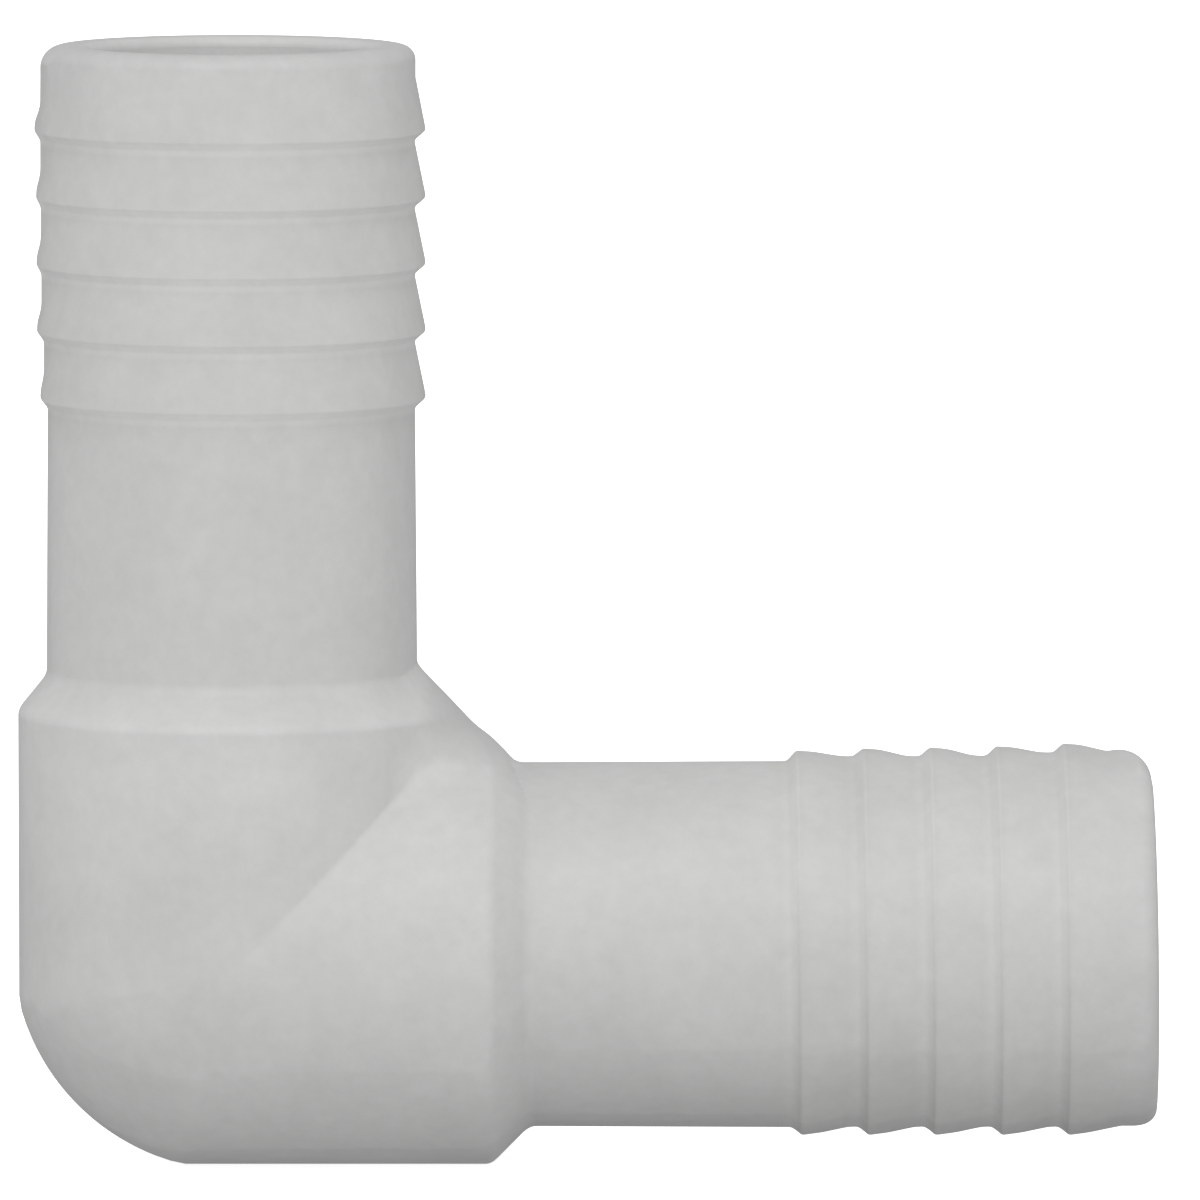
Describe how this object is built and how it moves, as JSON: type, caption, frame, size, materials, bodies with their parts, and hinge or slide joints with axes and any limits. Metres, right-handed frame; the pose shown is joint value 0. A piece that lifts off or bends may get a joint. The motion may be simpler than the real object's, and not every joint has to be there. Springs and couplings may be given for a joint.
{
  "type": "elbow hose fitting",
  "caption": "Right-angle moulded plastic hose fitting: a thick rounded elbow body with an open barbed hose spigot at each end.",
  "frame": {"origin": "where the two bore axes cross, in the middle of the elbow", "axes": "+Z along the upper spigot's bore towards its open end, +X along the side spigot's bore towards its open end, so both axes lie in the XZ plane; the picture is taken from -Y"},
  "size_m": [0.0887, 0.0338, 0.0871],
  "materials": {
    "white_nylon": "as-moulded milky white nylon, satin"
  },
  "bodies": {
    "root": {"elbow_body": "white_nylon", "upper_spigot": "white_nylon", "side_spigot": "white_nylon"}
  },
  "joints": []
}
